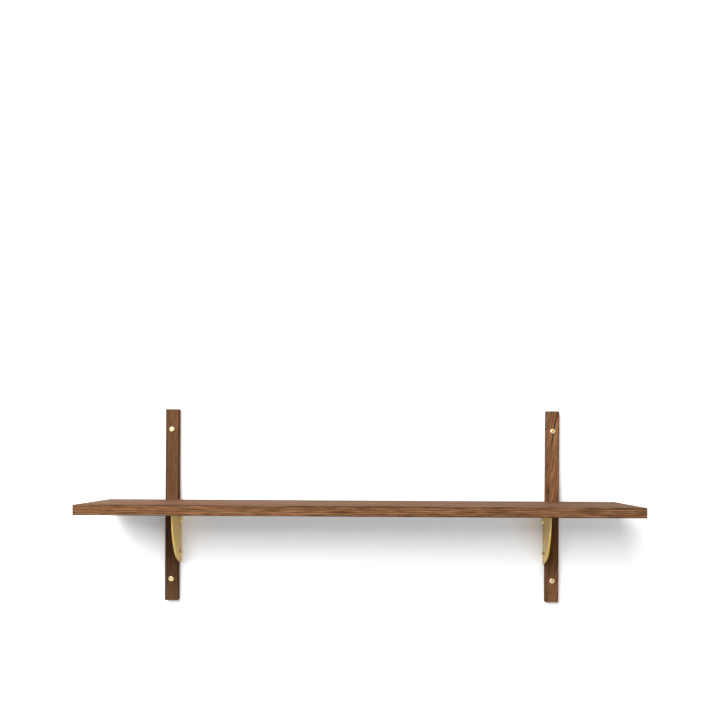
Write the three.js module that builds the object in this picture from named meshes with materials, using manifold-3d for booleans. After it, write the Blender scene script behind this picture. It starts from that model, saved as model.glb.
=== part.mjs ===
// Wall shelf: an oak board on two oak uprights, held by brass brackets.
// Millimetres, +Z up. +X runs to the right along the board and +Y goes into the wall.
// The wall's face is y = 0, the board's top is z = 0, and x = 0 is midway between the uprights.

import * as THREE from "three";
import { mergeVertices } from "three/addons/utils/BufferGeometryUtils.js";
import Module from "manifold-3d";

const wasm = await Module();
wasm.setup();

// Driving dimensions.
const board = { length: 1150, depth: 235, thickness: 21, corner: 2.4, easedEdge: 1.4 };
const upright = {
  width: 30,
  thickness: 18,
  length: 435,
  aboveBoard: 205.5,
  spacing: 866, // centre to centre
  corner: 2,
  easedEdge: 1.2,
};
const bracket = {
  plate: 3, // sheet thickness
  reach: 88, // from the wall to the front
  drop: 122.5, // from the top to the tip
  flangeWidth: 27,
  flangeCorner: 7,
  bendRadius: 2, // inside of the bend
  offWall: 0.6,
};
const head = { diameter: 12.5, height: 3.6, rim: 1, flat: 5.6, socket: 4, socketDepth: 2.1 };
const wallScrew = { shank: 5, length: 58, tip: 7, fromTop: 46, fromBottom: 49.5 };
const bolt = { shank: 6, length: 16, tip: 1, belowTop: 25, aboveTip: 22 };
const insert = { wall: 1.2, length: 12, recess: 0.5 };
const shelfScrew = {
  shank: 4,
  length: 15,
  tip: 3,
  headDiameter: 8,
  headRim: 0.3,
  slotLength: 4.4,
  slotWidth: 1,
  slotDepth: 1.4,
  edgeInset: 16, // from the flange's front and rear edges
};
const gap = 0.3; // left between pieces that touch, and around what goes in a hole
const holeEnd = 1.5; // a blind hole is this much deeper than what goes in it
const past = 5; // a cutter runs this much past the face that it opens
const easedSteps = 3; // in a quarter circle of an eased edge
const bendSteps = 5; // in a quarter circle of a bracket's bend or corner
const sweepSteps = 32; // in a bracket's quarter ellipse
const domeSteps = 5; // from the rim to the flat of a button head
const roundSides = 24; // of turned pieces and drilled holes

// Places that follow from them, for one side of the shelf. Here x = 0 is the upright's middle,
// and the brackets and bolts lie on the side of it that faces the shelf's middle, at minus x.
const uprightBottom = upright.aboveBoard - upright.length;
const boardRear = -upright.thickness - gap;
const plateOuter = -upright.width / 2 - gap;
const plateInner = plateOuter - bracket.plate;
const flangeTip = plateOuter - bracket.flangeWidth;
const bracketTop = -board.thickness - gap;
const bracketTip = bracketTop - bracket.drop;
const boltHeights = [bracketTop - bolt.belowTop, bracketTip + bolt.aboveTip];
const screwHeights = [upright.aboveBoard - wallScrew.fromTop, uprightBottom + wallScrew.fromBottom];
const flangeScrewX = (flangeTip + plateInner - bracket.bendRadius) / 2;
const flangeScrewPlaces = [boardRear - shelfScrew.edgeInset, shelfScrew.edgeInset - bracket.reach];
const insertOuter = bolt.shank / 2 + gap + insert.wall;

const oak = new THREE.MeshStandardMaterial({ color: 0x8b6347, roughness: 0.6, metalness: 0 });
const darkOak = new THREE.MeshStandardMaterial({ color: 0x74543f, roughness: 0.6, metalness: 0 });
const satinBrass = new THREE.MeshStandardMaterial({ color: 0xa68a55, roughness: 0.4, metalness: 1 });
const brightBrass = new THREE.MeshStandardMaterial({ color: 0xe0c07a, roughness: 0.2, metalness: 1 });

// Turns a closed geometry into a solid for cutting and joining, and back.
function toSolid(geometry) {
  const bare = geometry.clone();
  bare.deleteAttribute("normal");
  bare.deleteAttribute("uv");
  const merged = mergeVertices(bare, 1e-4);
  const vertProperties = merged.attributes.position.array;
  const triVerts = new Uint32Array(merged.index.array);
  return new wasm.Manifold(new wasm.Mesh({ numProp: 3, vertProperties, triVerts }));
}

function toGeometry(solid) {
  const { vertProperties, triVerts } = solid.getMesh();
  const geometry = new THREE.BufferGeometry();
  geometry.setAttribute("position", new THREE.BufferAttribute(vertProperties, 3));
  geometry.setIndex(new THREE.BufferAttribute(triVerts, 1));
  geometry.computeVertexNormals();
  return geometry;
}

function named(name, geometry, material) {
  const mesh = new THREE.Mesh(geometry, material);
  mesh.name = name;
  return mesh;
}

// A rectangle with round corners, about the origin.
function roundedRectangle(width, height, corner) {
  const x = width / 2 - corner;
  const y = height / 2 - corner;
  const shape = new THREE.Shape();
  shape.absarc(x, y, corner, 0, Math.PI / 2);
  shape.absarc(-x, y, corner, Math.PI / 2, Math.PI);
  shape.absarc(-x, -y, corner, Math.PI, 1.5 * Math.PI);
  shape.absarc(x, -y, corner, 1.5 * Math.PI, 2 * Math.PI);
  return shape;
}

// A plank about the origin, with round corners in plan and eased edges above and below.
function plank(width, depth, height, { corner, easedEdge }) {
  const outline = roundedRectangle(
    width - 2 * easedEdge,
    depth - 2 * easedEdge,
    corner - easedEdge,
  );
  return new THREE.ExtrudeGeometry(outline, {
    depth: height - 2 * easedEdge,
    bevelSize: easedEdge,
    bevelThickness: easedEdge,
    bevelSegments: easedSteps,
    curveSegments: easedSteps,
  }).translate(0, 0, easedEdge - height / 2);
}

// A rod for drilling, from one point to another along one of the axes.
function drill(radius, from, to) {
  const start = new THREE.Vector3(...from);
  const along = new THREE.Vector3(...to).sub(start);
  const rod = new THREE.CylinderGeometry(radius, radius, along.length(), roundSides);
  const up = new THREE.Vector3(0, 1, 0);
  const turn = new THREE.Quaternion().setFromUnitVectors(up, along.clone().normalize());
  rod.applyQuaternion(turn);
  const middle = start.addScaledVector(along, 0.5);
  return toSolid(rod.translate(middle.x, middle.y, middle.z));
}

// The board, with a blind hole in its underside for each of its screws.
function shelfBoard() {
  const { length, depth, thickness } = board;
  const middleY = boardRear - depth / 2;
  let solid = toSolid(plank(length, depth, thickness, board).translate(0, middleY, -thickness / 2));
  const screwReach = bracketTop - bracket.plate + shelfScrew.length;
  for (const side of [-1, 1]) {
    for (const y of flangeScrewPlaces) {
      const x = side * (upright.spacing / 2 + flangeScrewX);
      const from = [x, y, -thickness - past];
      const to = [x, y, screwReach + holeEnd];
      solid = solid.subtract(drill(shelfScrew.shank / 2 + gap, from, to));
    }
  }
  return toGeometry(solid);
}

// An upright, drilled through for its wall screws and from its inner side for the inserts.
function uprightBatten() {
  const { width, thickness, length } = upright;
  const middleZ = (upright.aboveBoard + uprightBottom) / 2;
  let solid = toSolid(plank(width, thickness, length, upright).translate(0, -thickness / 2, middleZ));
  for (const z of screwHeights) {
    const from = [0, -thickness - past, z];
    const to = [0, past, z];
    solid = solid.subtract(drill(wallScrew.shank / 2 + gap, from, to));
  }
  const boltReach = plateInner - gap + bolt.length;
  const insertReach = insert.recess + insert.length - width / 2;
  for (const z of boltHeights) {
    const from = [-width / 2 - past, -thickness / 2, z];
    const to = [Math.max(boltReach, insertReach) + holeEnd, -thickness / 2, z];
    solid = solid.subtract(drill(insertOuter + gap, from, to));
  }
  return toGeometry(solid);
}

// The bracket's section across the wall's normal: the plate, the bend and the flange.
function bracketSection() {
  const { plate, bendRadius } = bracket;
  const outerRadius = bendRadius + plate;
  const bendX = plateOuter - outerRadius;
  const bendZ = bracketTop - outerRadius;
  const shape = new THREE.Shape();
  shape.moveTo(plateInner, bracketTip - past);
  shape.lineTo(plateOuter, bracketTip - past);
  shape.absarc(bendX, bendZ, outerRadius, 0, Math.PI / 2);
  shape.lineTo(flangeTip, bracketTop);
  shape.lineTo(flangeTip, bracketTop - plate);
  shape.absarc(bendX, bendZ, bendRadius, Math.PI / 2, 0, true);
  return shape;
}

// Seen from the side, in y and z: the quarter ellipse that sweeps from the front down to the wall.
function bracketProfile() {
  const { reach, drop, offWall } = bracket;
  const shape = new THREE.Shape();
  shape.moveTo(-offWall, bracketTop + past);
  shape.lineTo(-reach, bracketTop + past);
  shape.absellipse(-offWall, bracketTop, reach - offWall, drop, Math.PI, 1.5 * Math.PI);
  return shape;
}

// Seen from above: the flange starts in front of the upright, and its free corners are round.
function bracketPlan() {
  const { reach, flangeCorner } = bracket;
  const cornerX = flangeTip + flangeCorner;
  const shape = new THREE.Shape();
  shape.moveTo(plateOuter + past, past);
  shape.lineTo(plateInner, past);
  shape.lineTo(plateInner, boardRear);
  shape.absarc(cornerX, boardRear - flangeCorner, flangeCorner, Math.PI / 2, Math.PI);
  shape.absarc(cornerX, flangeCorner - reach, flangeCorner, Math.PI, 1.5 * Math.PI);
  shape.lineTo(plateOuter + past, -reach);
  return shape;
}

function extruded(shape, depth, curveSegments) {
  return new THREE.ExtrudeGeometry(shape, { depth, curveSegments, bevelEnabled: false });
}

function bracketPiece() {
  const { reach, drop, flangeWidth, plate } = bracket;
  const alongX = new THREE.Matrix4().makeBasis(
    new THREE.Vector3(0, 1, 0),
    new THREE.Vector3(0, 0, 1),
    new THREE.Vector3(1, 0, 0),
  );
  const section = extruded(bracketSection(), reach, bendSteps).rotateX(Math.PI / 2);
  const profile = extruded(bracketProfile(), flangeWidth + 2 * past, sweepSteps)
    .applyMatrix4(alongX)
    .translate(flangeTip - past, 0, 0);
  const plan = extruded(bracketPlan(), drop + 3 * past, bendSteps)
    .translate(0, 0, bracketTip - 2 * past);
  let solid = toSolid(section).intersect(toSolid(profile)).intersect(toSolid(plan));
  for (const z of boltHeights) {
    const from = [plateInner - past, -upright.thickness / 2, z];
    const to = [plateOuter + past, -upright.thickness / 2, z];
    solid = solid.subtract(drill(bolt.shank / 2 + gap, from, to));
  }
  for (const y of flangeScrewPlaces) {
    const sink = turned(shelfScrewProfile(gap)).rotateX(Math.PI / 2);
    solid = solid.subtract(toSolid(sink.translate(flangeScrewX, y, bracketTop - plate)));
  }
  return toGeometry(solid);
}

// A turned piece: its profile has the radius as x and the place along the axis as y.
function turned(profile) {
  return new THREE.LatheGeometry(profile, roundSides);
}

// A button-headed screw along +Y: the head's underside is y = 0 and the shank goes up from it.
function buttonScrew({ shank, length, tip }, tipRadius) {
  const radius = head.diameter / 2;
  const flat = head.flat / 2;
  const dome = new THREE.EllipseCurve(
    flat,
    -head.rim,
    radius - flat,
    head.height - head.rim,
    1.5 * Math.PI,
    2 * Math.PI,
  );
  const profile = [
    new THREE.Vector2(0, -head.height),
    ...dome.getPoints(domeSteps),
    new THREE.Vector2(radius, 0),
    new THREE.Vector2(shank / 2, 0),
    new THREE.Vector2(shank / 2, length - tip),
    new THREE.Vector2(tipRadius, length),
  ];
  if (tipRadius > 0) profile.push(new THREE.Vector2(0, length));
  const across = head.socket / Math.sqrt(3);
  const socket = new THREE.CylinderGeometry(across, across, 2 * head.socketDepth, 6);
  socket.translate(0, -head.height, 0);
  return toGeometry(toSolid(turned(profile)).subtract(toSolid(socket)));
}

// The profile of a countersunk screw whose head's face is y = 0, grown by some clearance.
function shelfScrewProfile(clearance) {
  const { shank, length, tip, headDiameter, headRim } = shelfScrew;
  const headRadius = headDiameter / 2 + clearance;
  const shankRadius = shank / 2 + clearance;
  return [
    new THREE.Vector2(0, -clearance),
    new THREE.Vector2(headRadius, -clearance),
    new THREE.Vector2(headRadius, headRim),
    new THREE.Vector2(shankRadius, headRim + headRadius - shankRadius),
    new THREE.Vector2(shankRadius, length - tip),
    new THREE.Vector2(0, length),
  ];
}

function countersunkScrew() {
  const { slotLength, slotWidth, slotDepth } = shelfScrew;
  const slot = new THREE.BoxGeometry(slotLength, 2 * slotDepth, slotWidth);
  const cross = toSolid(slot).add(toSolid(slot.clone().rotateY(Math.PI / 2)));
  return toGeometry(toSolid(turned(shelfScrewProfile(0))).subtract(cross));
}

function threadedInsert() {
  const inner = bolt.shank / 2 + gap;
  return turned([
    new THREE.Vector2(inner, 0),
    new THREE.Vector2(insertOuter, 0),
    new THREE.Vector2(insertOuter, insert.length),
    new THREE.Vector2(inner, insert.length),
    new THREE.Vector2(inner, 0),
  ]);
}

// One upright with its bracket and all its fasteners.
function sideOfShelf(side, uprightMaterial) {
  const group = new THREE.Group();
  group.add(named(`${side}_upright`, uprightBatten(), uprightMaterial));
  group.add(named(`${side}_bracket`, bracketPiece(), satinBrass));
  ["top", "bottom"].forEach((end, i) => {
    const screw = named(`${side}_${end}_wall_screw`, buttonScrew(wallScrew, 0), brightBrass);
    screw.position.set(0, -upright.thickness - gap, screwHeights[i]);
    group.add(screw);
  });
  ["upper", "lower"].forEach((end, i) => {
    const boltRadius = bolt.shank / 2 - bolt.tip;
    const screw = named(`${side}_${end}_bracket_bolt`, buttonScrew(bolt, boltRadius), brightBrass);
    screw.position.set(plateInner - gap, -upright.thickness / 2, boltHeights[i]);
    screw.rotation.z = -Math.PI / 2;
    const sleeve = named(`${side}_${end}_threaded_insert`, threadedInsert(), satinBrass);
    sleeve.position.set(insert.recess - upright.width / 2, -upright.thickness / 2, boltHeights[i]);
    sleeve.rotation.z = -Math.PI / 2;
    group.add(screw, sleeve);
  });
  ["rear", "front"].forEach((end, i) => {
    const screw = named(`${side}_${end}_shelf_screw`, countersunkScrew(), satinBrass);
    screw.position.set(flangeScrewX, flangeScrewPlaces[i], bracketTop - bracket.plate);
    screw.rotation.x = Math.PI / 2;
    group.add(screw);
  });
  return group;
}

const shelf = new THREE.Group();
shelf.add(named("shelf_board", shelfBoard(), oak));
const right = sideOfShelf("right", oak);
right.position.x = upright.spacing / 2;
const left = sideOfShelf("left", darkOak);
left.position.x = -upright.spacing / 2;
left.scale.x = -1; // the left side is the right side's mirror image
shelf.add(right, left);

export default shelf;
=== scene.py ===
import bpy
import bmesh
import math
from mathutils import Euler, Matrix, Vector


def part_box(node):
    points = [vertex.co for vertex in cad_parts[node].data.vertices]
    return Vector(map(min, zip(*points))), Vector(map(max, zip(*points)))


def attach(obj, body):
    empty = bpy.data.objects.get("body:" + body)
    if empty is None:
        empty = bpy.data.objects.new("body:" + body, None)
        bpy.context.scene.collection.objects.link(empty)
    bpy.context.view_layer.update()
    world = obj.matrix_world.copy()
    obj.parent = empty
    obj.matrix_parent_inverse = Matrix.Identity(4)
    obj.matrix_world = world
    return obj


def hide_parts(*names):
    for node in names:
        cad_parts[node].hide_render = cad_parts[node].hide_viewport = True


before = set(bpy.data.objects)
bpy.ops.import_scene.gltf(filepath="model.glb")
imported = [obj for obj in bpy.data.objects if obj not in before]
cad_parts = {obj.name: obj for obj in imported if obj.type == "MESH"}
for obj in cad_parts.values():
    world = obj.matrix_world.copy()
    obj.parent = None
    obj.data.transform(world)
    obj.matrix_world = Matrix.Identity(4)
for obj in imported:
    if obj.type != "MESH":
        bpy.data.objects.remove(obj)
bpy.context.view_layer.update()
print("frame loaded:", len(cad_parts), "parts")

mm = 0.001
hair = 1e-7  # metres, finer than anything modelled
quarterTurn = math.pi / 2
sides = {"left": -1, "right": 1}


# Node trees: inputs are numbers or other nodes' sockets, by name or by place.
def addNode(tree, kind, inputs=None, **settings):
    node = tree.nodes.new(kind)
    for name, value in settings.items():
        setattr(node, name, value)
    for name, value in (inputs or {}).items():
        if isinstance(value, bpy.types.NodeSocket):
            tree.links.new(value, node.inputs[name])
        else:
            node.inputs[name].default_value = value
    return node


def addMath(tree, operation, *values):
    return addNode(tree, "ShaderNodeMath", dict(enumerate(values)), operation=operation).outputs[0]


def addVectors(tree, operation, first, second):
    node = addNode(tree, "ShaderNodeVectorMath", {0: first, 1: second}, operation=operation)
    return node.outputs["Value" if operation == "LENGTH" else "Vector"]


def mixColours(tree, amount, first, second, blend="MIX"):
    inputs = {0: amount, 6: first, 7: second}
    return addNode(tree, "ShaderNodeMix", inputs, data_type="RGBA", blend_type=blend).outputs[2]


def mapRange(tree, value, fromLow, fromHigh, toLow=0.0, toHigh=1.0):
    inputs = dict(enumerate((value, fromLow, fromHigh, toLow, toHigh)))
    node = addNode(tree, "ShaderNodeMapRange", inputs, interpolation_type="SMOOTHSTEP")
    return node.outputs[0]


# Noise with features of these lengths along the three axes of a vector.
def stretchedNoise(tree, vector, lengths, detail=2.0, roughness=0.5):
    scaled = addVectors(tree, "MULTIPLY", vector, [1 / length for length in lengths])
    inputs = {"Vector": scaled, "Scale": 1.0, "Detail": detail, "Roughness": roughness}
    return addNode(tree, "ShaderNodeTexNoise", inputs)


def colourRamp(tree, value, stops):
    node = addNode(tree, "ShaderNodeValToRGB", {0: value})
    elements = node.color_ramp.elements
    while len(elements) < len(stops):
        elements.new(0.5)
    for element, (position, colour) in zip(elements, stops):
        element.position = position
        element.color = (*colour, 1)
    return node.outputs[0]


def newMaterial(name):
    material = bpy.data.materials.new(name)
    material.use_nodes = True
    tree = material.node_tree
    return material, tree, tree.nodes["Principled BSDF"]


# Camera and studio, in metres.
studio = {
    "eye": (0.03515, -1.9375, 0.096),
    "lens": 42.17,
    "shift": (-0.0247, 0.13665),
    "roll": -0.33,  # degrees about the view
    "ambient": 0.27,
    "glossAmbient": 0.6,  # what polished surfaces see of the room
    "paint": 0.8,
    "bouncePaint": 0.28,  # what matt surfaces see of the wall and floor
    "wallReach": (4.0, 3.0),
    "wallGap": 0.3 * mm,
    "openingMargin": 1.5 * mm,  # the wall is open behind each upright, this much inside its outline
    "floorHeight": -1.2,
}
# Soft boxes look at the shelf. Azimuth 0 is in front of it and 90 to its right. Where "stage" is
# given, a box lights the wall and floor alone (INCLUDE) or all but them (EXCLUDE).
softBoxes = {
    "back": {
        "azimuth": 160,
        "elevation": 25,
        "distance": 3.0,
        "size": (2.0, 2.0),
        "power": 45,
    },
    "key": {
        "azimuth": -25,
        "elevation": 29,
        "distance": 3.3,
        "size": (1.1, 1.1),
        "power": 127,
        "stage": "EXCLUDE",
    },
    "wash": {
        "azimuth": -19,
        "elevation": 24,
        "distance": 3.3,
        "size": (2.2, 1.95),
        "power": 188,
        "stage": "INCLUDE",
    },
    "fill": {
        "azimuth": 15,
        "elevation": -8,
        "distance": 2.5,
        "size": (3.4, 0.8),
        "power": 31,
        "colour": (0.96, 0.985, 1.0),
        "stage": "INCLUDE",
    },
}


def makeCamera():
    camera = bpy.data.objects.new("camera", bpy.data.cameras.new("camera"))
    camera.data.lens = studio["lens"]
    camera.data.shift_x, camera.data.shift_y = studio["shift"]
    roll = Matrix.Rotation(math.radians(studio["roll"]), 4, "Y")
    look = roll @ Matrix.Rotation(quarterTurn, 4, "X")
    camera.matrix_world = Matrix.Translation(studio["eye"]) @ look
    bpy.context.scene.collection.objects.link(camera)
    bpy.context.scene.camera = camera


def makeSoftBox(name, box):
    light = bpy.data.objects.new(name, bpy.data.lights.new(name, "AREA"))
    light.data.shape = "RECTANGLE"
    light.data.size, light.data.size_y = box["size"]
    light.data.energy = box["power"]
    light.data.color = box.get("colour", (1, 1, 1))
    azimuth, elevation = math.radians(box["azimuth"]), math.radians(box["elevation"])
    level = math.cos(elevation)
    toLight = Vector((math.sin(azimuth) * level, -math.cos(azimuth) * level, math.sin(elevation)))
    light.location = toLight * box["distance"]
    light.rotation_euler = (-toLight).to_track_quat("-Z", "Y").to_euler()
    bpy.context.scene.collection.objects.link(light)
    return light


def shareLight(light, sheets, share):
    lit = bpy.data.collections.new(f"{light.name}Receivers")
    for sheet in sheets:
        lit.objects.link(sheet)
    for entry in lit.collection_objects:
        entry.light_linking.link_state = share
    light.light_linking.receiver_collection = lit


# White to the camera, and dimmer to what the surfaces see of it.
def makeWorld():
    world = bpy.data.worlds.new("studio")
    world.use_nodes = True
    bpy.context.scene.world = world
    tree = world.node_tree
    path = addNode(tree, "ShaderNodeLightPath").outputs
    dim, bright = studio["ambient"], studio["glossAmbient"]
    strength = mapRange(tree, path["Is Glossy Ray"], 0.0, 1.0, dim, bright)
    strength = mapRange(tree, path["Is Camera Ray"], 0.0, 1.0, strength, 1.0)
    tree.links.new(strength, tree.nodes["Background"].inputs["Strength"])
    tree.nodes["Background"].inputs["Color"].default_value = (1, 1, 1, 1)


# A flat sheet across x and z or x and y, without the cells that are left open.
def flatSheet(name, columns, rows, place, leftOpen=()):
    shape = bmesh.new()
    grid = [[shape.verts.new(place(a, b)) for b in rows] for a in columns]
    for i in range(len(columns) - 1):
        for j in range(len(rows) - 1):
            if (i, j) not in leftOpen:
                corners = (grid[i][j], grid[i + 1][j], grid[i + 1][j + 1], grid[i][j + 1])
                shape.faces.new(corners)
    sheet = makeObject(name, shape)
    return sheet


def makeObject(name, shape):
    mesh = bpy.data.meshes.new(name)
    shape.to_mesh(mesh)
    shape.free()
    made = bpy.data.objects.new(name, mesh)
    bpy.context.scene.collection.objects.link(made)
    return made


# Matt white paint, seen through from behind.
def paintMaterial():
    material, tree, shader = newMaterial("studioPaint")
    tree.nodes.remove(shader)
    path = addNode(tree, "ShaderNodeLightPath").outputs
    isSeen = addMath(tree, "MAXIMUM", path["Is Camera Ray"], path["Is Glossy Ray"])
    tone = mapRange(tree, isSeen, 0.0, 1.0, studio["bouncePaint"], studio["paint"])
    front = addNode(tree, "ShaderNodeBsdfDiffuse", {"Color": tone}).outputs[0]
    behind = addNode(tree, "ShaderNodeBsdfTransparent").outputs[0]
    isBehind = addNode(tree, "ShaderNodeNewGeometry").outputs["Backfacing"]
    both = addNode(tree, "ShaderNodeMixShader", {0: isBehind, 1: front, 2: behind})
    output = next(node for node in tree.nodes if node.type == "OUTPUT_MATERIAL")
    tree.links.new(both.outputs[0], output.inputs["Surface"])
    return material


def makeStage():
    reach, top = studio["wallReach"]
    floor = studio["floorHeight"]
    margin = studio["openingMargin"]
    low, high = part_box("right_upright")
    inner, outer = low.x + margin, high.x - margin
    columns = (-reach, -outer, -inner, inner, outer, reach)
    rows = (floor, low.z + margin, high.z - margin, top)

    def onWall(x, z):
        return x, studio["wallGap"], z

    def onFloor(x, y):
        return x, y, floor

    wall = flatSheet("wall", columns, rows, onWall, leftOpen=((1, 1), (3, 1)))
    flat = flatSheet("floor", (-reach, reach), (-reach, reach), onFloor)
    paint = paintMaterial()
    for sheet in (wall, flat):
        sheet.data.materials.append(paint)
    return wall, flat


bpy.context.scene.view_settings.view_transform = "Standard"
makeCamera()
makeWorld()
lights = {name: makeSoftBox(f"{name}Light", box) for name, box in softBoxes.items()}
sheets = makeStage()
for name, box in softBoxes.items():
    if "stage" in box:
        shareLight(lights[name], sheets, box["stage"])
print("studio made")


# Smoked oak. Lengths are in mm: along the grain, then across it both ways. A range is the part of a
# noise that counts, and a tone is what a full share of a mark adds.
oak = {
    "ringDrift": ((700, 45, 45), 2.8),  # lengths, then mm
    "warp": ((300, 60, 60), 9.0),
    "band": ((0, 0.95), (0.14, 0.8), (0.4, 0.25), (0.88, 0.0), (1, 0.85)),  # a year's dark part
    "streaks": (45, 1.9, 1.9),
    "streakRange": (0.34, 0.66),
    "fibres": (32, 0.45, 0.45),
    "pores": (7, 0.32, 0.32),
    "poreLimit": 0.64,
    "poresInBand": 0.10,  # how much lower the limit is in the early wood
    "poreEdge": 0.05,
    "poreTone": -0.22,
    "rays": (8, 0.5, 30),
    "rayRange": (0.62, 0.72),
    "rayTone": 0.07,
    "patches": (260, 26, 26),
    "wearRange": (0.1, 0.9),
    "wearTone": 0.09,
    "hues": (110, 2.6, 2.6),
    "hueRange": (0.36, 0.64),
    "coolHue": (0.94, 1.035, 1.03),
    "warmHue": (1.07, 0.965, 0.92),
    "colours": (
        (0.08, (0.050, 0.023, 0.0095)),
        (0.36, (0.128, 0.057, 0.023)),
        (0.62, (0.212, 0.094, 0.040)),
        (0.92, (0.350, 0.168, 0.083)),
    ),
    "roughness": (0.62, 0.8),
    "roughRange": (0.0, 1.4),
    "specular": 0.06,
    "relief": {"fibres": 0.35, "pores": -0.8, "bands": -0.3},
    "reliefHeight": 0.09 * mm,
    "reliefStrength": 0.7,
}


# Each stave of a glued-up board has its own heart and its own run of grain.
def staves(tree, grain, look):
    across = addNode(tree, "ShaderNodeSeparateXYZ", {0: grain}).outputs[1]
    number = addMath(tree, "ROUND", addMath(tree, "DIVIDE", across, look["stave"]))
    chance = addNode(tree, "ShaderNodeTexWhiteNoise", {"W": number}, noise_dimensions="1D")
    chance = chance.outputs["Color"]
    shift = addVectors(tree, "MULTIPLY", chance, look["staveShift"])
    back = addMath(tree, "MULTIPLY", number, -look["stave"])
    back = addNode(tree, "ShaderNodeCombineXYZ", {1: back}).outputs[0]
    grain = addVectors(tree, "ADD", addVectors(tree, "ADD", grain, back), shift)
    return grain, addNode(tree, "ShaderNodeSeparateXYZ", {0: chance}).outputs[0]


# Adds a layer that runs from 0 to 1 to a tone, and keeps the average tone.
def addLayer(tree, tone, layer, depth):
    return addMath(tree, "ADD", tone, addMath(tree, "MULTIPLY_ADD", layer, depth, -depth / 2))


def oakMaterial(name, node, look):
    material, tree, shader = newMaterial(name)
    low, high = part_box(node)
    turn = Euler([math.radians(angle) for angle in look["turn"]])
    heart = Vector(look["heart"]) - turn.to_matrix() @ ((low + high) / 2 / mm)
    place = addNode(tree, "ShaderNodeTexCoord").outputs["Object"]
    mapping = {"Vector": place, "Location": heart, "Rotation": turn, "Scale": (1 / mm,) * 3}
    grain = addNode(tree, "ShaderNodeMapping", mapping).outputs[0]
    if "stave" in look:
        grain, staveTone = staves(tree, grain, look)

    lengths, size = oak["warp"]
    bend = stretchedNoise(tree, grain, lengths).outputs[1]
    bend = addVectors(tree, "SUBTRACT", bend, (0.5, 0.5, 0.5))
    bent = addVectors(tree, "ADD", grain, addVectors(tree, "MULTIPLY", bend, (0, size, size)))
    radius = addVectors(tree, "MULTIPLY", bent, (0, 1, 1))
    radius = addVectors(tree, "LENGTH", radius, (0, 0, 0))
    lengths, size = oak["ringDrift"]
    drift = stretchedNoise(tree, grain, lengths, detail=3.0).outputs[0]
    drift = addMath(tree, "MULTIPLY", drift, size)
    years = addMath(tree, "DIVIDE", addMath(tree, "ADD", radius, drift), look["ring"])
    year = addMath(tree, "FRACT", years)
    band = colourRamp(tree, year, [(spot, (value,) * 3) for spot, value in oak["band"]])

    streaks = stretchedNoise(tree, bent, oak["streaks"], detail=3.0, roughness=0.6).outputs[0]
    streaks = mapRange(tree, streaks, *oak["streakRange"])
    fibres = stretchedNoise(tree, bent, oak["fibres"], detail=3.0, roughness=0.65).outputs[0]
    patches = stretchedNoise(tree, grain, oak["patches"]).outputs[0]
    pores = stretchedNoise(tree, bent, oak["pores"], detail=1.0).outputs[0]
    poreLimit = addMath(tree, "MULTIPLY_ADD", band, -oak["poresInBand"], oak["poreLimit"])
    pores = mapRange(tree, addMath(tree, "SUBTRACT", pores, poreLimit), 0.0, oak["poreEdge"])

    parts = addNode(tree, "ShaderNodeSeparateXYZ", {0: bent}).outputs
    angle = addMath(tree, "ARCTAN2", parts[1], parts[2])
    arc = addMath(tree, "MULTIPLY", angle, look["rayRadius"])
    polar = addNode(tree, "ShaderNodeCombineXYZ", {0: parts[0], 1: arc, 2: radius}).outputs[0]
    rays = stretchedNoise(tree, polar, oak["rays"], detail=1.0).outputs[0]
    rays = mapRange(tree, rays, *oak["rayRange"])

    tone = addMath(tree, "MULTIPLY_ADD", band, -look["bandDepth"], look["tone"])
    tone = addLayer(tree, tone, streaks, look["streak"])
    tone = addLayer(tree, tone, fibres, look["fibre"])
    tone = addLayer(tree, tone, patches, look["patch"])
    tone = addMath(tree, "MULTIPLY_ADD", rays, oak["rayTone"], tone)
    if "stave" in look:
        tone = addLayer(tree, tone, staveTone, look["staveTone"])
    wear = addNode(tree, "ShaderNodeAttribute", attribute_name="wear").outputs["Fac"]
    worn = mapRange(tree, streaks, *oak["wearRange"], 0.0, oak["wearTone"])
    tone = addMath(tree, "MULTIPLY_ADD", wear, worn, tone)
    tone = addMath(tree, "MULTIPLY_ADD", pores, oak["poreTone"], tone)
    warmth = stretchedNoise(tree, bent, oak["hues"]).outputs[0]
    warmth = mapRange(tree, warmth, *oak["hueRange"])
    hue = mixColours(tree, warmth, (*oak["coolHue"], 1), (*oak["warmHue"], 1))
    colour = mixColours(tree, 1.0, colourRamp(tree, tone, oak["colours"]), hue, "MULTIPLY")
    colour = mixColours(tree, 1.0, colour, (*look["tint"], 1), "MULTIPLY")
    tree.links.new(colour, shader.inputs["Base Color"])

    rough = addMath(tree, "ADD", pores, band)
    rough = mapRange(tree, rough, *oak["roughRange"], *oak["roughness"])
    tree.links.new(rough, shader.inputs["Roughness"])
    shader.inputs["Specular IOR Level"].default_value = oak["specular"]
    relief = oak["relief"]
    height = addMath(tree, "MULTIPLY", pores, relief["pores"])
    height = addMath(tree, "MULTIPLY_ADD", fibres, relief["fibres"], height)
    height = addMath(tree, "MULTIPLY_ADD", band, relief["bands"], height)
    bump = {"Height": height, "Distance": oak["reliefHeight"], "Strength": oak["reliefStrength"]}
    tree.links.new(addNode(tree, "ShaderNodeBump", bump).outputs[0], shader.inputs["Normal"])
    return material


# What all the brass shares. Brushed sheet has fine lines down it, and turned pieces have fine rings
# round them.
polish = {
    "ringsDownward": 0.15,  # how much of a ring pattern's height counts
    "noiseRange": (0.3, 0.7),
    "lineShade": 0.94,
    "roughRange": (0.7, 1.3),
    "lineStrength": 0.5,
}


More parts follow.
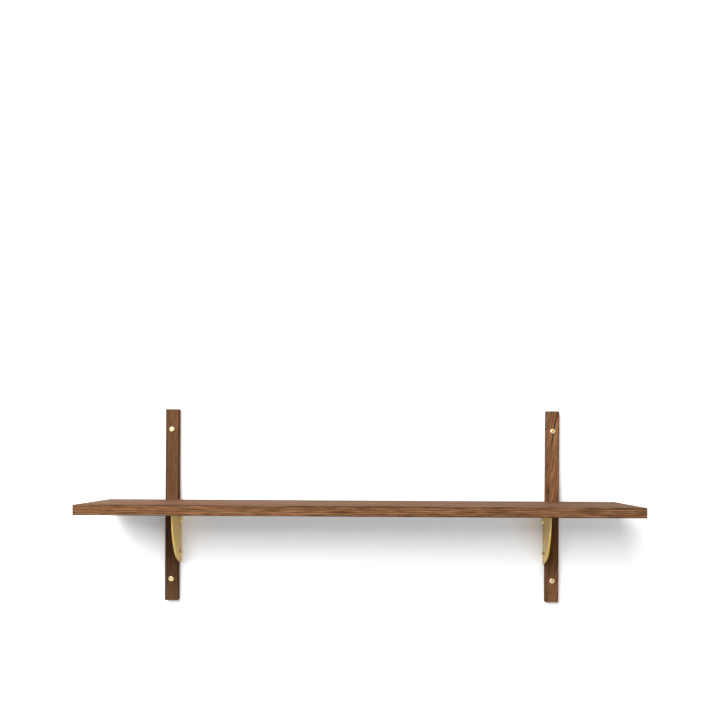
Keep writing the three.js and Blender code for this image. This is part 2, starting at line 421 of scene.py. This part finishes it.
def brassMaterial(name, look):
    material, tree, shader = newMaterial(name)
    if look["lines"] == "rings":
        place = addNode(tree, "ShaderNodeAttribute", attribute_name="turned").outputs["Vector"]
        place = addVectors(tree, "MULTIPLY", place, (1, 1, polish["ringsDownward"]))
    else:
        place = addNode(tree, "ShaderNodeTexCoord").outputs["Object"]
        place = addVectors(tree, "MULTIPLY", place, (1 / mm,) * 3)
    lines = stretchedNoise(tree, place, look["lineLengths"], detail=3.0, roughness=0.7).outputs[0]
    cloud = stretchedNoise(tree, place, look["cloudLengths"], detail=3.0).outputs[0]
    shade = mapRange(tree, cloud, *polish["noiseRange"], 1 - look["tarnish"], 1.0)
    lined = mapRange(tree, lines, *polish["noiseRange"], polish["lineShade"], 1.0)
    shade = addMath(tree, "MULTIPLY", shade, lined)
    # Painted shade: inside a head's socket the colour is pulled towards the dark tarnish colour,
    # darkest at the middle.
    if "recess" in look:
        inner, outer, socketShadeLevel = look["recess"]
        across = addNode(tree, "ShaderNodeSeparateXYZ", {0: place}).outputs[0]
        socketShade = mapRange(tree, across, inner, outer, socketShadeLevel, 1.0)
        shade = addMath(tree, "MULTIPLY", shade, socketShade)
    colour = mixColours(tree, shade, (*look["tarnishAndShade"], 1), (*look["colour"], 1))
    tree.links.new(colour, shader.inputs["Base Color"])
    shader.inputs["Metallic"].default_value = 1
    low, high = look["roughness"]
    rough = mapRange(tree, addMath(tree, "ADD", lines, cloud), *polish["roughRange"], high, low)
    tree.links.new(rough, shader.inputs["Roughness"])
    bump = {"Height": lines, "Distance": look["lineHeight"], "Strength": polish["lineStrength"]}
    tree.links.new(addNode(tree, "ShaderNodeBump", bump).outputs[0], shader.inputs["Normal"])
    return material


brass = {
    "sheet": {
        "lines": "straight",
        "lineLengths": (0.5, 0.35, 70),
        "cloudLengths": (30, 22, 40),
        "colour": (0.655, 0.445, 0.108),
        "tarnishAndShade": (0.50, 0.32, 0.12),
        "tarnish": 0.25,
        "roughness": (0.30, 0.42),
        "lineHeight": 0.03 * mm,
    },
    "bright": {
        "lines": "rings",
        "lineLengths": (0.16, 0.16, 30),
        "cloudLengths": (3, 3, 2),
        "colour": (0.90, 0.735, 0.42),
        # This dark colour is the tarnish, and also the painted shade in the socket.
        "tarnishAndShade": (0.34, 0.23, 0.08),
        "tarnish": 0.08,
        "recess": (1.3, 2.3, 0.1),  # painted shade in the socket, fading out between these radii, and its darkest level
        "roughness": (0.38, 0.48),
        "lineHeight": 0.01 * mm,
    },
    "plain": {
        "lines": "rings",
        "lineLengths": (0.3, 0.3, 30),
        "cloudLengths": (4, 4, 2),
        "colour": (0.70, 0.50, 0.22),
        "tarnishAndShade": (0.42, 0.27, 0.11),
        "tarnish": 0.4,
        "roughness": (0.28, 0.42),
        "lineHeight": 0.015 * mm,
    },
}
sheetBrass = brassMaterial("brushedSheetBrass", brass["sheet"])
brightBrass = brassMaterial("brightTurnedBrass", brass["bright"])
plainBrass = brassMaterial("plainTurnedBrass", brass["plain"])
print("brass made")


# A turned surface added to a shape. Rows are (height, radius) in mm from end to end, a radius may
# be a function of the angle, and both ends close on the axis. Each point keeps its radius, height
# and angle for the brass's rings.
def addTurned(shape, rows, steps, place):
    layers = shape.verts.layers.float_vector
    turned = layers.get("turned") or layers.new("turned")
    angles = [2 * math.pi * k / steps for k in range(steps)]

    def addPoint(radius, height, angle):
        spot = Vector((radius * math.cos(angle), radius * math.sin(angle), height))
        point = shape.verts.new(place @ (spot * mm))
        point[turned] = (radius, height, angle)
        return point

    loops = []
    for height, radius in rows:
        radii = [radius(angle) if callable(radius) else radius for angle in angles]
        loops.append([addPoint(reach, height, angle) for reach, angle in zip(radii, angles)])
    for lower, upper in zip(loops, loops[1:]):
        for k in range(steps):
            n = (k + 1) % steps
            shape.faces.new((lower[k], lower[n], upper[n], upper[k]))
    for loop, (height, radius) in ((loops[0], rows[0]), (loops[-1], rows[-1])):
        pole = addPoint(0, height, 0)
        for k in range(steps):
            shape.faces.new((loop[k], pole, loop[(k + 1) % steps]))


# Puts the axis of a turned surface, its +Z, along a direction from a point.
def axisPlace(point, direction):
    turn = Vector(direction).to_track_quat("Z", "Y").to_matrix().to_4x4()
    return Matrix.Translation(point) @ turn


# Turns a piece with modifiers into a plain mesh.
def settle(piece):
    graph = bpy.context.evaluated_depsgraph_get()
    mesh = bpy.data.meshes.new_from_object(
        piece.evaluated_get(graph), preserve_all_data_layers=True, depsgraph=graph
    )
    piece.modifiers.clear()
    before = piece.data
    piece.data = mesh
    bpy.data.meshes.remove(before)


# Drills a piece with turned cutters, each given as (point, direction, rows).
def drill(piece, cutters, steps=40):
    shape = bmesh.new()
    for point, direction, rows in cutters:
        addTurned(shape, rows, steps, axisPlace(point, direction))
    bmesh.ops.recalc_face_normals(shape, faces=shape.faces[:])
    cutter = makeObject("cutter", shape)
    cut = piece.modifiers.new("holes", "BOOLEAN")
    cut.object = cutter
    cut.operation = "DIFFERENCE"
    cut.solver = "EXACT"
    settle(piece)
    bpy.data.objects.remove(cutter)


# A hole's cutter, in mm: it flares out of a face that it opens, and a blind one stops flat.
def holeRows(radius, depth, flare, isThrough, overrun=1):
    mouth = radius + flare + overrun
    rows = [(-overrun, mouth), (flare, radius)]
    if isThrough:
        return rows + [(depth - flare, radius), (depth + overrun, mouth)]
    return rows + [(depth, radius)]


def smoothPiece(piece, creaseAngle):
    piece.data.shade_smooth()
    piece.data.set_sharp_from_angle(angle=math.radians(creaseAngle))


# Gives a piece its material, and its place in the frame.
def handOver(piece, nodes, material):
    piece.data.materials.clear()
    piece.data.materials.append(material)
    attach(piece, "root")
    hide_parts(*nodes)


# Timber: a plank with round upright corners and eased rims, flat faces that stay flat, and worn
# edges.
timber = {
    "steps": 6,
    "cornerRise": 1 * mm,  # an edge that rises this much is an upright corner
    "rimRise": 0.1 * mm,  # and one that rises less than this belongs to a rim
    "flatArea": (4 * mm) ** 2,
    "flatWidth": 5 * mm,
    "flatMargin": 0.4 * mm,
    "creaseAngle": 40,
}


def easedPlank(name, node, size):
    low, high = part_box(node)
    shape = bmesh.new()
    bmesh.ops.create_cube(shape, size=1)
    for vertex in shape.verts:
        vertex.co = [low[i] + (vertex.co[i] + 0.5) * (high[i] - low[i]) for i in range(3)]

    def rise(edge):
        return abs(edge.verts[0].co.z - edge.verts[1].co.z)

    bevel = {"segments": timber["steps"], "profile": 0.5, "affect": "EDGES"}
    corners = [edge for edge in shape.edges if rise(edge) > timber["cornerRise"]]
    bmesh.ops.bevel(shape, geom=corners, offset=size["corner"], **bevel)
    rims = [edge for edge in shape.edges if rise(edge) < timber["rimRise"]]
    bmesh.ops.bevel(shape, geom=rims, offset=size["easedEdge"], **bevel)
    wear = shape.verts.layers.float.new("wear")
    for vertex in shape.verts:
        vertex[wear] = 1
    flats = [face for face in shape.faces if isFlatFace(face)]
    margin = timber["flatMargin"]
    bmesh.ops.inset_individual(shape, faces=flats, thickness=margin, use_even_offset=True)
    for face in flats:
        for vertex in face.verts:
            vertex[wear] = 0
    bmesh.ops.recalc_face_normals(shape, faces=shape.faces[:])
    return makeObject(name, shape)


# A plank's own faces, not the steps of its round corners and rims.
def isFlatFace(face):
    longest = sorted(edge.calc_length() for edge in face.edges)[-2:]
    isBig = face.calc_area() > timber["flatArea"] and len(face.verts) > 3
    return isBig and longest[0] > timber["flatWidth"]


boardSize = {
    "corner": 2.4 * mm,
    "easedEdge": 1.4 * mm,
    "holeRadius": 2.3,
    "holeDepth": 13.2,
    "holeFlare": 0.4,
}
boardLook = {
    "turn": (0, 0, 0.4),
    "heart": (0, 0, 76),
    "stave": 78.4,
    "staveShift": (900, 50, 34),
    "staveTone": 0.10,
    "rayRadius": 90,
    "ring": 4.2,
    "bandDepth": 0.42,
    "tone": 0.735,
    "streak": 0.54,
    "fibre": 0.45,
    "patch": 0.30,
    "tint": (1.0, 1.03, 1.07),
}


def makeBoard():
    size = boardSize
    board = easedPlank("shelf_board_oak", "shelf_board", size)
    hole = holeRows(size["holeRadius"], size["holeDepth"], size["holeFlare"], False)
    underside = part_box("shelf_board")[0].z
    cutters = []
    for side in sides:
        for end in ("rear", "front"):
            middle = boxMiddle(f"{side}_{end}_shelf_screw")
            cutters.append(((middle.x, middle.y, underside), (0, 0, 1), hole))
    drill(board, cutters)
    smoothPiece(board, timber["creaseAngle"])
    material = oakMaterial("boardOak", "shelf_board", boardLook)
    handOver(board, ["shelf_board"], material)


def boxMiddle(node):
    low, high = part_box(node)
    return (low + high) / 2


uprightSize = {
    "corner": 2 * mm,
    "easedEdge": 1.2 * mm,
    "wallHoleRadius": 2.8,
    "insertHoleRadius": 4.8,
    "insertHoleDepth": 14,
    "holeFlare": 0.5,
}
uprightLooks = {
    "left": {
        "turn": (0, 90.4, 0),
        "heart": (0, 62, -48),
        "rayRadius": 70,
        "ring": 2.5,
        "bandDepth": 0.20,
        "tone": 0.51,
        "streak": 0.22,
        "fibre": 0.40,
        "patch": 0.25,
        "tint": (0.94, 1.0, 1.13),
    },
    "right": {
        "turn": (0, 80, 0),
        "heart": (500, 48, -20),
        "rayRadius": 50,
        "ring": 1.6,
        "bandDepth": 0.5,
        "tone": 0.81,
        "streak": 0.45,
        "fibre": 0.40,
        "patch": 0.30,
        "tint": (1.0, 1.02, 1.04),
    },
}


def makeUprights():
    size = uprightSize
    flare = size["holeFlare"]
    for side, sign in sides.items():
        node = f"{side}_upright"
        upright = easedPlank(f"{side}_upright_oak", node, size)
        low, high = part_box(node)
        inner = low.x if sign > 0 else high.x
        wallHole = holeRows(size["wallHoleRadius"], (high.y - low.y) / mm, flare, True)
        insertHole = holeRows(size["insertHoleRadius"], size["insertHoleDepth"], flare, False)
        cutters = []
        for end in ("top", "bottom"):
            middle = boxMiddle(f"{side}_{end}_wall_screw")
            cutters.append(((middle.x, low.y, middle.z), (0, 1, 0), wallHole))
        for end in ("upper", "lower"):
            middle = boxMiddle(f"{side}_{end}_bracket_bolt")
            cutters.append(((inner, middle.y, middle.z), (sign, 0, 0), insertHole))
        drill(upright, cutters)
        smoothPiece(upright, timber["creaseAngle"])
        material = oakMaterial(f"{side}UprightOak", node, uprightLooks[side])
        handOver(upright, [node], material)


makeBoard()
makeUprights()
print("oak board and uprights made")


# The brackets are cut from sheet as a flat pattern and then folded.
bracketSize = {
    "sheet": 3 * mm,
    "bendRadius": 2 * mm,  # inside
    "flangeCorner": 7 * mm,
    "edgeRound": 0.35 * mm,
    "edgeSteps": 3,
    "weld": 0.002 * mm,
    "notchAngle": math.radians(55),  # the plate behind the flange goes this far round the bend
    "bendSteps": 12,
    "curveSteps": 72,
    "cornerSteps": 10,
    "creaseAngle": 40,
    "boltHole": 3.3,  # a radius in mm, as in the rest of a cutter
    "holeFlare": 0.25,
    "sink": ((-1, 4.3), (0.3, 4.3), (2.3, 2.3), (4.2, 2.3)),  # the countersink, from below
}


def arcPoints(middle, radii, start, end, steps):
    angles = [start + (end - start) * k / steps for k in range(steps + 1)]
    across, up = radii
    return [(middle[0] + across * math.cos(a), middle[1] + up * math.sin(a)) for a in angles]


# Along the pattern's first axis the sheet runs up the plate, round the bend and out along the
# flange, and the bend starts at 0. The second axis is y.
def bracketOutline(low, high, flangeRear):
    size = bracketSize
    middleRadius = size["bendRadius"] + size["sheet"] / 2
    outerRadius = size["bendRadius"] + size["sheet"]
    bendLength = middleRadius * quarterTurn
    drop = high.z - low.z
    reach = high.y - low.y
    end = bendLength + (high.x - low.x) - outerRadius
    corner = size["flangeCorner"]
    cornerSteps = size["cornerSteps"]
    sweep = quarterTurn - math.asin(outerRadius / drop)
    front = (end - corner, low.y + corner)
    rear = (end - corner, flangeRear - corner)
    notch = middleRadius * size["notchAngle"]
    tip = (outerRadius, high.y)
    outline = arcPoints(tip, (drop, reach), math.pi, math.pi + sweep, size["curveSteps"])
    outline += [(bendLength, low.y)]
    outline += arcPoints(front, (corner, corner), -quarterTurn, 0, cornerSteps)
    outline += arcPoints(rear, (corner, corner), 0, quarterTurn, cornerSteps)
    outline += [(notch, flangeRear), (notch, high.y)]
    return outline, bendLength, middleRadius


def patternMesh(outline):
    size = bracketSize
    curve = bpy.data.curves.new("pattern", "CURVE")
    curve.dimensions = "2D"
    curve.fill_mode = "BOTH"
    curve.bevel_depth = size["edgeRound"]
    curve.bevel_resolution = size["edgeSteps"]
    curve.offset = -size["edgeRound"]
    curve.extrude = size["sheet"] / 2 - size["edgeRound"]
    spline = curve.splines.new("POLY")
    spline.points.add(len(outline) - 1)
    for point, (along, across) in zip(spline.points, outline):
        point.co = (along, across, 0, 1)
    spline.use_cyclic_u = True
    flat = bpy.data.objects.new("pattern", curve)
    bpy.context.scene.collection.objects.link(flat)
    graph = bpy.context.evaluated_depsgraph_get()
    mesh = bpy.data.meshes.new_from_object(flat.evaluated_get(graph))
    bpy.data.objects.remove(flat)
    return mesh


def foldedBracket(side, sign):
    size = bracketSize
    low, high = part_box(f"{side}_bracket")
    inner, outer = sorted((abs(low.x), abs(high.x)))
    low = Vector((inner, low.y, low.z))
    high = Vector((outer, high.y, high.z))
    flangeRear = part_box("shelf_board")[1].y
    outline, bendLength, middleRadius = bracketOutline(low, high, flangeRear)
    mesh = patternMesh(outline)
    shape = bmesh.new()
    shape.from_mesh(mesh)
    bpy.data.meshes.remove(mesh)
    bmesh.ops.remove_doubles(shape, verts=shape.verts[:], dist=size["weld"])
    for k in range(size["bendSteps"] + 1):
        everything = shape.verts[:] + shape.edges[:] + shape.faces[:]
        cut = (bendLength * k / size["bendSteps"], 0, 0)
        bmesh.ops.bisect_plane(shape, geom=everything, plane_co=cut, plane_no=(1, 0, 0), dist=hair)
    outerRadius = size["bendRadius"] + size["sheet"]
    bendX = high.x - outerRadius
    bendZ = high.z - outerRadius
    for vertex in shape.verts:
        along, across, through = vertex.co
        angle = min(max(along / middleRadius, 0), quarterTurn)
        radius = middleRadius + through
        x = bendX + radius * math.cos(angle) - max(along - bendLength, 0)
        z = bendZ + radius * math.sin(angle) + min(along, 0)
        vertex.co = (sign * x, across, z)
    bmesh.ops.recalc_face_normals(shape, faces=shape.faces[:])
    return makeObject(f"{side}_bracket_brass", shape)


def makeBrackets():
    size = bracketSize
    boltHole = holeRows(size["boltHole"], size["sheet"] / mm, size["holeFlare"], True)
    for side, sign in sides.items():
        node = f"{side}_bracket"
        bracket = foldedBracket(side, sign)
        low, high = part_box(node)
        plateFace = sign * (max(abs(low.x), abs(high.x)) - size["sheet"])
        flangeFace = high.z - size["sheet"]
        cutters = []
        for end in ("upper", "lower"):
            middle = boxMiddle(f"{side}_{end}_bracket_bolt")
            cutters.append(((plateFace, middle.y, middle.z), (sign, 0, 0), boltHole))
        for end in ("rear", "front"):
            middle = boxMiddle(f"{side}_{end}_shelf_screw")
            cutters.append(((middle.x, middle.y, flangeFace), (0, 0, 1), size["sink"]))
        drill(bracket, cutters)
        smoothPiece(bracket, size["creaseAngle"])
        flatter = bracket.modifiers.new("flatFaces", "WEIGHTED_NORMAL")
        flatter.keep_sharp = True
        flatter.weight = 100
        settle(bracket)
        handOver(bracket, [node], sheetBrass)


makeBrackets()
print("brackets folded")


# Fasteners. Each is turned about +Z from its head, whose seat is height 0, and lengths are in mm. A
# family has four nodes, named after its node and ends, and each may spin up to so many radians.
fastener = {
    "steps": 48,
    "rowsPerThread": 8,
    "sharpness": 1.7,  # of a thread
    "runIn": 0.3,  # from the plain shank down to the core
    "tipFade": 0.6,  # how far a thread dies away towards the tip
    "creaseAngle": 35,
    "head": {
        "diameter": 12.5,
        "height": 3.6,
        "rim": 1.0,
        "rimStraight": 0.1,
        "rimRound": 0.3,
        "rimSteps": 4,
        "domeSteps": 14,
        "flat": 5.6,
        "flatEase": 0.15,
        "socket": 4.0,
        "socketDepth": 2.1,
        "drillPoint": (0.35, 0.4),  # depth below the socket's floor, then radius
        "floorRound": ((0.1, 0.85), (0.0, 0.98), (-0.1, 1.0)),  # that depth, then share of width
        "mouth": ((0.25, 0.0), (0.03, 0.3), (0.0, 0.5)),  # depth below the top, then extra width
    },
    "wallScrew": {
        "node": "wall_screw",
        "ends": ("top", "bottom"),
        "shank": 5,
        "core": 3.5,
        "pitch": 2.2,
        "plain": 12,
        "tip": 7,
        "tipRadius": 0.05,
        "spin": math.pi / 3,
        "seed": 4,
    },
    "bolt": {
        "node": "bracket_bolt",
        "ends": ("upper", "lower"),
        "shank": 6,
        "core": 4.95,
        "pitch": 1.0,
        "plain": 0.8,
        "tip": 1,
        "tipRadius": 2.0,
        "spin": math.pi / 3,
        "seed": 9,
    },
    "insert": {
        "node": "threaded_insert",
        "ends": ("upper", "lower"),
        "wall": 1.2,
        "bore": 3.3,
        "core": 3.75,
        "pitch": 2.0,
        "rowsPerThread": 10,
        "keyDepth": 1.9,
        "keySlope": 0.5,
        "mouth": (0.2, 0.25),  # depth, then extra width
        "endEase": (0.3, 0.2),  # height, then extra radius
        "weld": 0.001,
        "spin": math.pi / 3,
        "seed": 2,
    },
    "shelfScrew": {
        "node": "shelf_screw",
        "ends": ("rear", "front"),
        "head": 8,
        "headEase": ((0, 0.35), (0.05, 0.1), (0.3, 0)),  # depth, then distance in from the edge
        "neckGap": 0.05,  # before the first row of the shank
        "shank": 4,
        "core": 2.7,
        "pitch": 1.6,
        "plain": 0.6,
        "tip": 3,
        "tipRadius": 0.05,
        "spin": math.pi,
        "seed": 6,
    },
    "cross": {
        "length": 4.4,
        "width": 1.0,
        "point": (1.4, 0.2),  # depth, then radius
        "walls": ((1.12, -0.25), (0.25, -0.1), (0.03, 0), (0, 0.08)),  # depth, then how far outside
    },
}


# How far a thread stands out, from 0 to 1, at a height and an angle.
def threadWave(height, angle, pitch, start, end):
    turnPart = (height / pitch - angle / (2 * math.pi)) % 1
    runIn = min(max((height - start) / pitch, 0), 1)
    runOut = min(max((end - height) / pitch, 0), 1)
    return max(0, 1 - abs(2 * turnPart - 1) * fastener["sharpness"]) * runIn * runOut


# A shank from its seat to its end, with a thread cut in it and a taper at the tip.
def threadRows(screw, length):
    core, outer = screw["core"] / 2, screw["shank"] / 2
    plain, pitch = screw["plain"], screw["pitch"]
    start, tipStart = plain + fastener["runIn"], length - screw["tip"]
    rows = [(0.0, outer), (plain, outer), (start, core)]
    count = int((length - start) / pitch * fastener["rowsPerThread"])
    for k in range(1, count + 1):
        height = start + (length - start) * k / count
        share = min(max((height - tipStart) / screw["tip"], 0), 1)
        narrow = 1 - share * (1 - screw["tipRadius"] / core)

        def radius(angle, height=height, narrow=narrow, share=share):
            stand = threadWave(height, angle, pitch, plain, length + pitch * share)
            wave = stand * (outer - core) * (1 - fastener["tipFade"] * share ** 2)
            return core * narrow + wave * min(1, narrow * 2)

        rows.append((height, radius))
    return rows


def hexagon(across):
    def radius(angle):
        part = angle % (math.pi / 3) - math.pi / 6
        return across / 2 / math.cos(part)

    return radius


# A button head with a hexagon socket, from the socket's floor out over the dome to the shank.
def buttonHeadRows():
    head = fastener["head"]
    top = -head["height"]
    radius, flat = head["diameter"] / 2, head["flat"] / 2
    floor = top + head["socketDepth"]
    socket = head["socket"]
    depth, point = head["drillPoint"]
    rows = [(floor + depth, point)]
    rows += [(floor + depth, hexagon(socket * share)) for depth, share in head["floorRound"]]
    rows += [(top + depth, hexagon(socket + extra)) for depth, extra in head["mouth"]]
    rows += [(top, flat - head["flatEase"])]
    for k in range(head["domeSteps"] + 1):
        angle = quarterTurn * k / head["domeSteps"]
        across = flat + (radius - flat) * math.sin(angle)
        rows.append((-head["rim"] + (top + head["rim"]) * math.cos(angle), across))
    rim = head["rimRound"]
    rows += [(-rim - head["rimStraight"], radius)]
    for k in range(1, head["rimSteps"] + 1):
        angle = quarterTurn * k / head["rimSteps"]
        rows.append((-rim + rim * math.sin(angle), radius - rim + rim * math.cos(angle)))
    return rows


# A countersunk head with a cross recess pressed in, from its middle out and down to the shank.
def crossHeadRows():
    screw, cross = fastener["shelfScrew"], fastener["cross"]
    radius, shank = screw["head"] / 2, screw["shank"] / 2
    half, reach = cross["width"] / 2, cross["length"] / 2

    def recess(grow):
        def edge(angle):
            part = abs((angle + math.pi / 4) % quarterTurn - math.pi / 4)
            side = (half + grow) / max(math.sin(part), 1e-6)
            return max(min((reach + grow) / math.cos(part), side), (half + grow) * math.sqrt(2))

        return edge

    rows = [cross["point"]]
    rows += [(depth, recess(grow)) for depth, grow in cross["walls"]]
    rows += [(depth, radius - inset) for depth, inset in screw["headEase"]]
    edge = rows[-1][0]
    return rows + [(edge + radius - shank, shank)]


def masterObject(name, rows):
    shape = bmesh.new()
    addTurned(shape, rows, fastener["steps"], Matrix())
    bmesh.ops.recalc_face_normals(shape, faces=shape.faces[:])
    return makeObject(name, shape)


# An insert is a sleeve: its outside thread, its bore, and a six-sided key recess in its face.
def insertMaster(length):
    size = fastener["insert"]
    bore, core, pitch = size["bore"], size["core"], size["pitch"]
    outer = bore + size["wall"]
    rows = []
    count = int(length / pitch * size["rowsPerThread"])
    for k in range(count + 1):
        height = length * k / count

        def radius(angle, height=height):
            return core + (outer - core) * threadWave(height, angle, pitch, 0, length)

        rows.append((height, radius))
    rise, flare = size["endEase"]
    mouth, extra = size["mouth"]
    key = size["keyDepth"]
    inside = [(length, bore + flare), (length - rise, bore), (key + size["keySlope"], bore)]
    inside += [(key, hexagon(2 * bore)), (mouth, hexagon(2 * bore))]
    inside += [(0.0, hexagon(2 * bore + extra))]
    shape = bmesh.new()
    addTurned(shape, rows + inside + [rows[0]], fastener["steps"], Matrix())
    poles = [vertex for vertex in shape.verts if vertex.co.to_2d().length < hair]
    bmesh.ops.delete(shape, geom=poles, context="VERTS")
    bmesh.ops.remove_doubles(shape, verts=shape.verts[:], dist=size["weld"] * mm)
    bmesh.ops.recalc_face_normals(shape, faces=shape.faces[:])
    return makeObject("insertMaster", shape)


# Geometry Nodes that set four copies of a fastener out on a rectangle, turned each by its own
# amount.
def fastenerTree():
    tree = bpy.data.node_groups.new("fourFasteners", "GeometryNodeTree")
    wanted = {
        "Fastener": "NodeSocketObject",
        "Middle": "NodeSocketVector",
        "Across": "NodeSocketFloat",
        "Along": "NodeSocketFloat",
        "Lay": "NodeSocketVector",
        "Aim Right": "NodeSocketVector",
        "Aim Left": "NodeSocketVector",
        "Spin": "NodeSocketFloat",
        "Seed": "NodeSocketInt",
        "Finish": "NodeSocketMaterial",
    }
    for name, kind in wanted.items():
        tree.interface.new_socket(name=name, in_out="INPUT", socket_type=kind)
    tree.interface.new_socket(name="Geometry", in_out="OUTPUT", socket_type="NodeSocketGeometry")
    given = addNode(tree, "NodeGroupInput").outputs
    sizes = {"Size X": given["Across"], "Size Y": given["Along"], "Vertices X": 2, "Vertices Y": 2}
    grid = addNode(tree, "GeometryNodeMeshGrid", sizes).outputs["Mesh"]
    lay = addNode(tree, "FunctionNodeEulerToRotation", {0: given["Lay"]}).outputs[0]
    laid = {"Geometry": grid, "Translation": given["Middle"], "Rotation": lay}
    points = addNode(tree, "GeometryNodeTransform", laid).outputs[0]
    position = addNode(tree, "GeometryNodeInputPosition").outputs[0]
    across = addNode(tree, "ShaderNodeSeparateXYZ", {0: position}).outputs[0]
    isRight = addNode(tree, "FunctionNodeCompare", {0: across, 1: 0.0}, operation="GREATER_THAN")
    ways = {"Switch": isRight.outputs[0], "False": given["Aim Left"], "True": given["Aim Right"]}
    aim = addNode(tree, "GeometryNodeSwitch", ways, input_type="VECTOR").outputs[0]
    aim = addNode(tree, "FunctionNodeEulerToRotation", {0: aim}).outputs[0]
    chance = addNode(tree, "FunctionNodeRandomValue", data_type="FLOAT")
    most = next(s for s in chance.inputs if s.name == "Max" and s.type == "VALUE")
    tree.links.new(given["Spin"], most)
    tree.links.new(given["Seed"], chance.inputs["Seed"])
    spin = next(s for s in chance.outputs if s.type == "VALUE" and s.enabled)
    spin = addNode(tree, "ShaderNodeCombineXYZ", {2: spin}).outputs[0]
    spin = addNode(tree, "FunctionNodeEulerToRotation", {0: spin}).outputs[0]
    turned = {"Rotation": aim, "Rotate By": spin}
    turned = addNode(tree, "FunctionNodeRotateRotation", turned, rotation_space="LOCAL").outputs[0]
    shape = addNode(tree, "GeometryNodeObjectInfo", {"Object": given["Fastener"]})
    shape = shape.outputs["Geometry"]
    copies = {"Points": points, "Instance": shape, "Rotation": turned}
    copies = addNode(tree, "GeometryNodeInstanceOnPoints", copies).outputs[0]
    real = addNode(tree, "GeometryNodeRealizeInstances", {"Geometry": copies}).outputs[0]
    shown = {"Geometry": real, "Material": given["Finish"]}
    shown = addNode(tree, "GeometryNodeSetMaterial", shown).outputs[0]
    addNode(tree, "NodeGroupOutput", {"Geometry": shown})
    return tree


# The nodes of a family, and the rectangle that the fasteners' seats lie on. A seat is a function of
# a node's box and its middle.
def familyPlaces(size, seat):
    nodes = [f"{side}_{end}_{size['node']}" for side in sides for end in size["ends"]]
    spots = [seat(*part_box(node), boxMiddle(node)) for node in nodes]
    low = Vector(min(spot[i] for spot in spots) for i in range(3))
    high = Vector(max(spot[i] for spot in spots) for i in range(3))
    return nodes, (low + high) / 2, high - low


# Makes a family's piece. The rectangle is laid by one turn, and each fastener is aimed by another.
def setOut(name, tree, master, size, family, turns, finish):
    nodes, middle, span = family
    lay, aimLeft, aimRight = turns
    values = {
        "Fastener": master,
        "Middle": middle,
        "Across": span.x,
        "Along": max(span.y, span.z),
        "Lay": lay,
        "Aim Right": aimRight,
        "Aim Left": aimLeft,
        "Spin": size["spin"],
        "Seed": size["seed"],
        "Finish": finish,
    }
    piece = makeObject(name, bmesh.new())
    modifier = piece.modifiers.new("setOut", "NODES")
    modifier.node_group = tree
    for item in tree.interface.items_tree:
        if item.in_out == "INPUT":
            modifier[item.identifier] = values[item.name]
    settle(piece)
    bpy.data.objects.remove(master)
    smoothPiece(piece, fastener["creaseAngle"])
    handOver(piece, nodes, finish)


def makeFasteners():
    tree = fastenerTree()
    head = fastener["head"]["height"] * mm
    level, standing, intoWall = (0, 0, 0), (quarterTurn, 0, 0), (-quarterTurn, 0, 0)
    sideways = (standing, (0, -quarterTurn, 0), (0, quarterTurn, 0))

    def wallSeat(low, high, middle):
        return middle.x, low.y + head, middle.z

    def boltSeat(low, high, middle):
        return low.x + head if middle.x > 0 else high.x - head, middle.y, middle.z

    def insertSeat(low, high, middle):
        return low.x if middle.x > 0 else high.x, middle.y, middle.z

    def shelfSeat(low, high, middle):
        return middle.x, middle.y, low.z

    size = fastener["wallScrew"]
    family = nodes, middle, span = familyPlaces(size, wallSeat)
    length = (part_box(nodes[0])[1].y - middle.y) / mm
    master = masterObject("wallScrewMaster", buttonHeadRows() + threadRows(size, length))
    turns = (standing, intoWall, intoWall)
    setOut("wall_screws", tree, master, size, family, turns, brightBrass)

    size = fastener["bolt"]
    family = nodes, middle, span = familyPlaces(size, boltSeat)
    length = (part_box(nodes[-1])[1].x - span.x / 2) / mm
    master = masterObject("boltMaster", buttonHeadRows() + threadRows(size, length))
    setOut("bracket_bolts", tree, master, size, family, sideways, brightBrass)

    size = fastener["insert"]
    family = nodes, middle, span = familyPlaces(size, insertSeat)
    master = insertMaster((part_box(nodes[-1])[1].x - span.x / 2) / mm)
    setOut("threaded_inserts", tree, master, size, family, sideways, plainBrass)

    size = fastener["shelfScrew"]
    family = nodes, middle, span = familyPlaces(size, shelfSeat)
    length = (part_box(nodes[0])[1].z - middle.z) / mm
    rows = crossHeadRows()
    neck = rows[-1][0] + size["neckGap"]
    rows += [row for row in threadRows(size, length) if row[0] > neck]
    master = masterObject("shelfScrewMaster", rows)
    turns = (level, level, level)
    setOut("shelf_screws", tree, master, size, family, turns, plainBrass)


makeFasteners()
print("fasteners set out")
